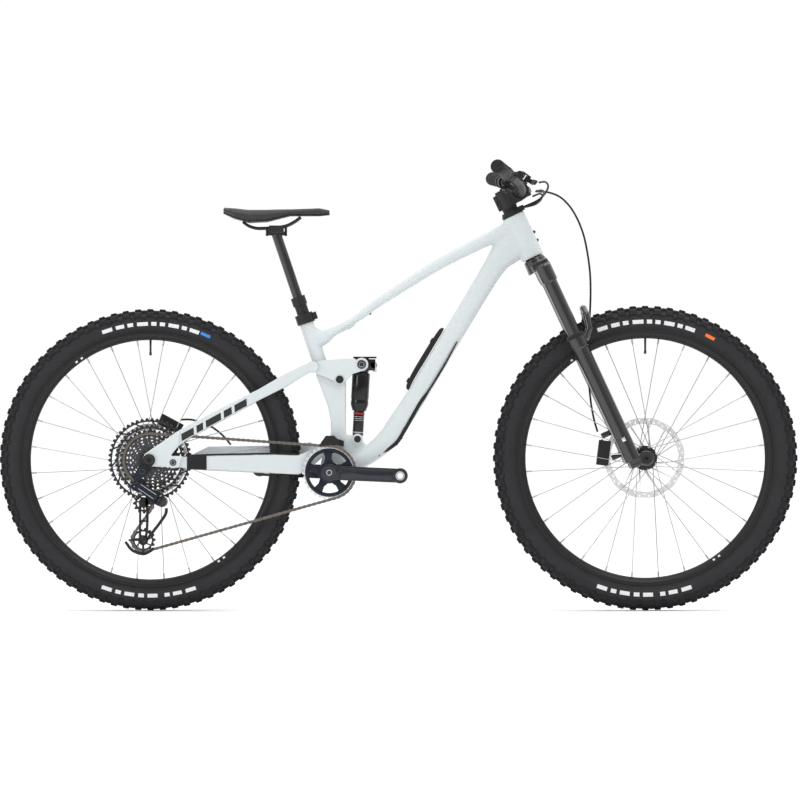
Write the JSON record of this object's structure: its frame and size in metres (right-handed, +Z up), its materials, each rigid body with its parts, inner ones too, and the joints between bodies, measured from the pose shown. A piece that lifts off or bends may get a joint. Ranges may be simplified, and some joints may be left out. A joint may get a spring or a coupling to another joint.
{
  "type": "full suspension mountain bike",
  "caption": "Full-suspension trail mountain bike with telescopic fork, linkage rear end, dropper post, disc brakes and a chain drive.",
  "frame": {"origin": "on the ground under the bike, midway between the front and rear ends of the tyres, in the wheels' plane", "axes": "+X forward in the riding direction, +Y to the rider's left, +Z up"},
  "size_m": [1.9744, 0.7806, 1.0996],
  "materials": {
    "frame_paint": "glossy pale cool white paint over carbon",
    "fork_gloss": "gloss black",
    "black_alloy": "satin black anodised",
    "black_plastic": "matte black",
    "black_rubber": "matte moulded rubber",
    "grip_rubber": "ribbed soft rubber",
    "tyre": "charcoal black tyre rubber",
    "rim": "satin black",
    "spoke_steel": "drawn stainless",
    "steel": "ground steel",
    "anodised": "dark anodised",
    "rotor_steel": "bright brushed",
    "cassette_steel": "dark steel with bright tooth edges",
    "chain_steel": "oiled steel",
    "chainring_steel": "dark coated steel",
    "crank_alloy": "gloss dark blue-grey",
    "lever_alloy": "satin black",
    "shock_chrome": "polished dark shaft",
    "shock_black": "gloss black anodised",
    "post_gloss": "gloss black stanchion",
    "saddle_cover": "smooth synthetic cover",
    "cable_jacket": "black hose jacket"
  },
  "bodies": {
    "frame": {"front_frame": "frame_paint", "pivots_and_bearings": "anodised", "seat_clamp": "black_alloy", "seatpost_outer": "black_alloy", "down_tube_guard": "black_rubber", "accessory_strip": "black_plastic", "chain_guide": "black_plastic"},
    "steering": {"fork_crown": "fork_gloss", "headset_cover": "black_plastic", "stem": "black_alloy", "handlebar": "black_alloy", "grips": "grip_rubber", "brake_bodies": "black_alloy", "remote_bodies": "black_plastic", "steering_cables": "cable_jacket", "front_brake_hose": "cable_jacket"},
    "rear_brake_lever": {"rear_brake_lever": "lever_alloy"},
    "front_brake_lever": {"front_brake_lever": "lever_alloy"},
    "upshift_paddle": {"upshift_paddle": "black_plastic"},
    "downshift_paddle": {"downshift_paddle": "black_plastic"},
    "dropper_lever": {"dropper_lever": "lever_alloy"},
    "fork_lowers": {"fork_lowers": "fork_gloss", "fork_shafts": "steel", "front_axle": "black_alloy", "front_brake_caliper": "black_alloy"},
    "front_wheel": {"front_tyre": "tyre", "front_rim": "rim", "front_spokes": "spoke_steel", "front_hub": "black_alloy", "front_rotor": "rotor_steel"},
    "crankset": {"right_crank": "crank_alloy", "left_crank": "crank_alloy", "chainring": "chainring_steel"},
    "chainstay": {"chainstay": "frame_paint", "chainstay_guard": "black_rubber"},
    "seatstay": {"chain": "chain_steel", "seatstay": "frame_paint", "rear_axle": "black_alloy", "rear_brake_caliper": "black_alloy", "derailleur_hanger": "anodised", "rear_brake_hose": "cable_jacket"},
    "rear_wheel": {"rear_tyre": "tyre", "rear_rim": "rim", "rear_spokes": "spoke_steel", "rear_hub": "black_alloy", "rear_rotor": "rotor_steel"},
    "cassette": {"cassette": "cassette_steel"},
    "rocker": {"rocker": "frame_paint"},
    "shock_shaft": {"shock_shaft": "shock_chrome"},
    "shock_body": {"shock_body": "shock_black"},
    "saddle": {"seatpost_inner": "post_gloss", "saddle_base": "black_plastic", "saddle_pad": "saddle_cover"},
    "derailleur_body": {"derailleur_body": "crank_alloy"},
    "derailleur_outer_link": {"derailleur_outer_link": "crank_alloy"},
    "derailleur_inner_link": {"derailleur_inner_link": "crank_alloy"},
    "derailleur_knuckle": {"derailleur_knuckle": "crank_alloy"},
    "derailleur_cage": {"derailleur_cage": "crank_alloy"},
    "upper_jockey": {"upper_jockey_wheel": "black_plastic"},
    "lower_jockey": {"lower_jockey_wheel": "black_plastic"}
  },
  "joints": [
    {"name": "steering_turn", "type": "hinge", "parent": "frame", "child": "steering", "pos_m": [0.57029, 0, 0.35847], "axis": [-0.421, 0, 0.907], "range_deg": [-60, 60], "deforming": ["steering_cables"]},
    {"name": "fork_travel", "type": "slide", "parent": "steering", "child": "fork_lowers", "axis": [-0.421, 0, 0.907], "range_m": [0, 0.15], "deforming": ["front_brake_hose"]},
    {"name": "front_wheel_spin", "type": "hinge", "parent": "fork_lowers", "child": "front_wheel", "pos_m": [0.6102, 0, 0.377], "axis": [0, 1, 0], "continuous": true},
    {"name": "rear_brake_squeeze", "type": "hinge", "parent": "steering", "child": "rear_brake_lever", "pos_m": [0.31324, -0.206, 1.05959], "axis": [-0.5821, 0, -0.8131], "range_deg": [0, 12], "stiffness_Nm_per_rad": 0.3},
    {"name": "front_brake_squeeze", "type": "hinge", "parent": "steering", "child": "front_brake_lever", "pos_m": [0.31324, 0.206, 1.05959], "axis": [0.5821, 0, 0.8131], "range_deg": [0, 12], "stiffness_Nm_per_rad": 0.3},
    {"name": "upshift_push", "type": "hinge", "parent": "steering", "child": "upshift_paddle", "pos_m": [0.26137, -0.196, 1.03523], "axis": [0.5821, 0, 0.8131], "range_deg": [0, 18], "stiffness_Nm_per_rad": 0.1},
    {"name": "downshift_push", "type": "hinge", "parent": "steering", "child": "downshift_paddle", "pos_m": [0.26137, -0.196, 1.03523], "axis": [0.5821, 0, 0.8131], "range_deg": [0, 28], "stiffness_Nm_per_rad": 0.1},
    {"name": "dropper_push", "type": "hinge", "parent": "steering", "child": "dropper_lever", "pos_m": [0.26137, 0.196, 1.03523], "axis": [-0.5821, 0, -0.8131], "range_deg": [0, 20], "stiffness_Nm_per_rad": 0.1},
    {"name": "crank_spin", "type": "hinge", "parent": "frame", "child": "crankset", "pos_m": [-0.1712, 0, 0.3418], "axis": [0, 1, 0], "continuous": true},
    {"name": "rear_travel", "type": "hinge", "parent": "frame", "child": "chainstay", "pos_m": [-0.1662, 0, 0.3998], "axis": [0, 1, 0], "range_deg": [0, 17.3], "deforming": ["chain", "rear_brake_hose"]},
    {"name": "horst_pivot", "type": "hinge", "parent": "chainstay", "child": "seatstay", "pos_m": [-0.5553, 0, 0.3668], "axis": [0, 1, 0], "range_deg": [-7, 0]},
    {"name": "rear_wheel_spin", "type": "hinge", "parent": "seatstay", "child": "rear_wheel", "pos_m": [-0.6142, 0, 0.373], "axis": [0, 1, 0], "continuous": true},
    {"name": "cassette_spin", "type": "hinge", "parent": "seatstay", "child": "cassette", "pos_m": [-0.6142, 0, 0.373], "axis": [0, 1, 0], "continuous": true},
    {"name": "rocker_turn", "type": "hinge", "parent": "frame", "child": "rocker", "pos_m": [-0.1457, 0, 0.5715], "axis": [0, 1, 0], "range_deg": [0, 53]},
    {"name": "shock_swing", "type": "hinge", "parent": "frame", "child": "shock_shaft", "pos_m": [-0.1017, 0, 0.4239], "axis": [0, 1, 0], "range_deg": [0, 7]},
    {"name": "shock_stroke", "type": "slide", "parent": "shock_shaft", "child": "shock_body", "axis": [-0.0551, 0, -0.9985], "range_m": [0, 0.056]},
    {"name": "dropper_travel", "type": "slide", "parent": "frame", "child": "saddle", "axis": [0.3206, 0, -0.9472], "range_m": [0, 0.15]},
    {"name": "derailleur_swing", "type": "hinge", "parent": "seatstay", "child": "derailleur_body", "pos_m": [-0.6303, 0, 0.345], "axis": [0, 1, 0], "range_deg": [0, 20]},
    {"name": "gear_shift", "type": "hinge", "parent": "derailleur_body", "child": "derailleur_outer_link", "pos_m": [-0.6402, -0.097, 0.3104], "axis": [-0.5551, 0, -0.8318], "range_deg": [0, 25]},
    {"name": "inner_link_turn", "type": "hinge", "parent": "derailleur_body", "child": "derailleur_inner_link", "pos_m": [-0.6402, -0.082, 0.3104], "axis": [-0.5551, 0, -0.8318], "range_deg": [0, 25]},
    {"name": "knuckle_turn", "type": "hinge", "parent": "derailleur_outer_link", "child": "derailleur_knuckle", "pos_m": [-0.5957, -0.097, 0.2807], "axis": [-0.5551, 0, -0.8318], "range_deg": [-25, 0]},
    {"name": "cage_swing", "type": "hinge", "parent": "derailleur_knuckle", "child": "derailleur_cage", "pos_m": [-0.5818, 0, 0.2698], "axis": [0, -1, 0], "range_deg": [0, 45]},
    {"name": "upper_jockey_spin", "type": "hinge", "parent": "derailleur_cage", "child": "upper_jockey", "pos_m": [-0.6291, 0, 0.2668], "axis": [0, 1, 0], "continuous": true},
    {"name": "lower_jockey_spin", "type": "hinge", "parent": "derailleur_cage", "child": "lower_jockey", "pos_m": [-0.6306, 0, 0.1747], "axis": [0, 1, 0], "continuous": true}
  ],
  "couplings": [
    {"joint": "horst_pivot", "follows": "rear_travel", "ratio": -0.33},
    {"joint": "rocker_turn", "follows": "rear_travel", "ratio": 2.955},
    {"joint": "shock_swing", "follows": "rear_travel", "ratio": 0.366},
    {"joint": "shock_stroke", "follows": "rear_travel", "m_per_rad": 0.1822},
    {"joint": "cassette_spin", "follows": "crank_spin", "ratio": 1},
    {"joint": "inner_link_turn", "follows": "gear_shift", "ratio": 1},
    {"joint": "knuckle_turn", "follows": "gear_shift", "ratio": -1}
  ]
}
